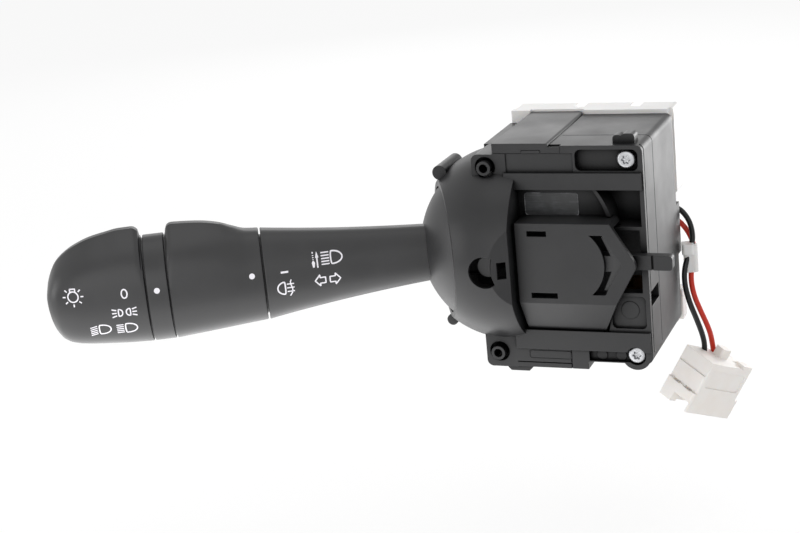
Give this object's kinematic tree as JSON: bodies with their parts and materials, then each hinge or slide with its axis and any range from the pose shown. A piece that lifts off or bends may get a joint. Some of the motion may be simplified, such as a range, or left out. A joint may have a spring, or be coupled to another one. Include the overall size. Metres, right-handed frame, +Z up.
{
  "type": "combination stalk switch",
  "caption": "Steering column stalk switch: boxed switch with half-ball joint, tapered stalk, twist knob and fog ring, cancel finger and short two-wire lead.",
  "frame": {"origin": "midway between the two fixing bosses, on the front face of the flange", "axes": "+X to the right along the face, away from the stalk, +Y away from the driver, +Z up"},
  "size_m": [0.198, 0.1112, 0.1063],
  "materials": {
    "housing_plastic": "moulded black glass-filled plastic, satin",
    "stalk_plastic": "fine-grained black plastic",
    "inner_plastic": "natural slippery plastic",
    "white_plastic": "white moulded plastic",
    "contact_laminate": "brown laminate",
    "contact_brass": "tinned and bare brass",
    "zinc_screw": "zinc-plated steel",
    "spring_steel": "bare spring steel",
    "black_insulation": "soft wire insulation",
    "red_insulation": "soft wire insulation"
  },
  "bodies": {
    "housing": {"front_housing": "housing_plastic", "rear_housing": "housing_plastic", "top_cover": "housing_plastic", "cancel_cover": "housing_plastic", "slider_spring": "spring_steel", "detent_cam": "inner_plastic", "assembly_screws": "zinc_screw", "contact_plate": "contact_laminate", "contact_tracks": "contact_brass", "terminal_blades": "contact_brass", "terminal_block": "white_plastic", "wire_black": "black_insulation", "wire_red": "red_insulation", "wire_clip": "white_plastic", "lead_connector": "white_plastic", "lead_terminals": "contact_brass"},
    "rocker": {"rocker_yoke": "inner_plastic", "cross_pins": "spring_steel", "signal_wipers": "contact_brass"},
    "plunger": {"detent_plunger": "inner_plastic", "detent_spring": "spring_steel"},
    "stalk": {"stalk_shell": "stalk_plastic", "stalk_shield": "housing_plastic", "stalk_hub": "inner_plastic", "hub_cap": "inner_plastic", "core_tube": "inner_plastic", "index_ring": "stalk_plastic", "fog_detent_pin": "spring_steel", "light_detent_pin": "spring_steel"},
    "light_knob": {"light_knob": "stalk_plastic", "knob_shaft": "inner_plastic", "light_contact_rotor": "inner_plastic"},
    "fog_ring": {"fog_ring": "stalk_plastic", "fog_drive_tube": "inner_plastic", "fog_contact_rotor": "inner_plastic"},
    "slider": {"cancel_slider": "housing_plastic", "finger_pin": "spring_steel"},
    "finger": {"trip_finger": "housing_plastic", "finger_spring": "spring_steel"}
  },
  "joints": [
    {"name": "turn_signal", "type": "hinge", "parent": "housing", "child": "rocker", "pos_m": [0.0019, 0.016, 0.0014], "axis": [0, 1, 0], "range_deg": [-8, 8]},
    {"name": "detent_plunger_slide", "type": "slide", "parent": "rocker", "child": "plunger", "axis": [1, 0, 0], "range_m": [-0.0012, 0], "stiffness_N_per_m": 1200, "springref_m": 0.002},
    {"name": "beam_pull", "type": "hinge", "parent": "rocker", "child": "stalk", "pos_m": [0.0019, 0.016, 0.0014], "axis": [0, 0, 1], "range_deg": [0, 7], "stiffness_Nm_per_rad": 3, "springref_deg": -4.58},
    {"name": "light_knob_turn", "type": "hinge", "parent": "stalk", "child": "light_knob", "pos_m": [0.0019, 0.016, 0.0014], "axis": [-0.891, -0.454, 0], "range_deg": [0, 50]},
    {"name": "fog_ring_turn", "type": "hinge", "parent": "stalk", "child": "fog_ring", "pos_m": [0.0019, 0.016, 0.0014], "axis": [-0.891, -0.454, 0], "range_deg": [-22, 0]},
    {"name": "cancel_slide", "type": "slide", "parent": "housing", "child": "slider", "axis": [1, 0, 0], "range_m": [0, 0.0025], "stiffness_N_per_m": 300, "springref_m": -0.001},
    {"name": "finger_swing", "type": "hinge", "parent": "slider", "child": "finger", "pos_m": [0.027, -0.0021, 0.0014], "axis": [0, 1, 0], "range_deg": [-15, 15], "stiffness_Nm_per_rad": 0.02}
  ]
}
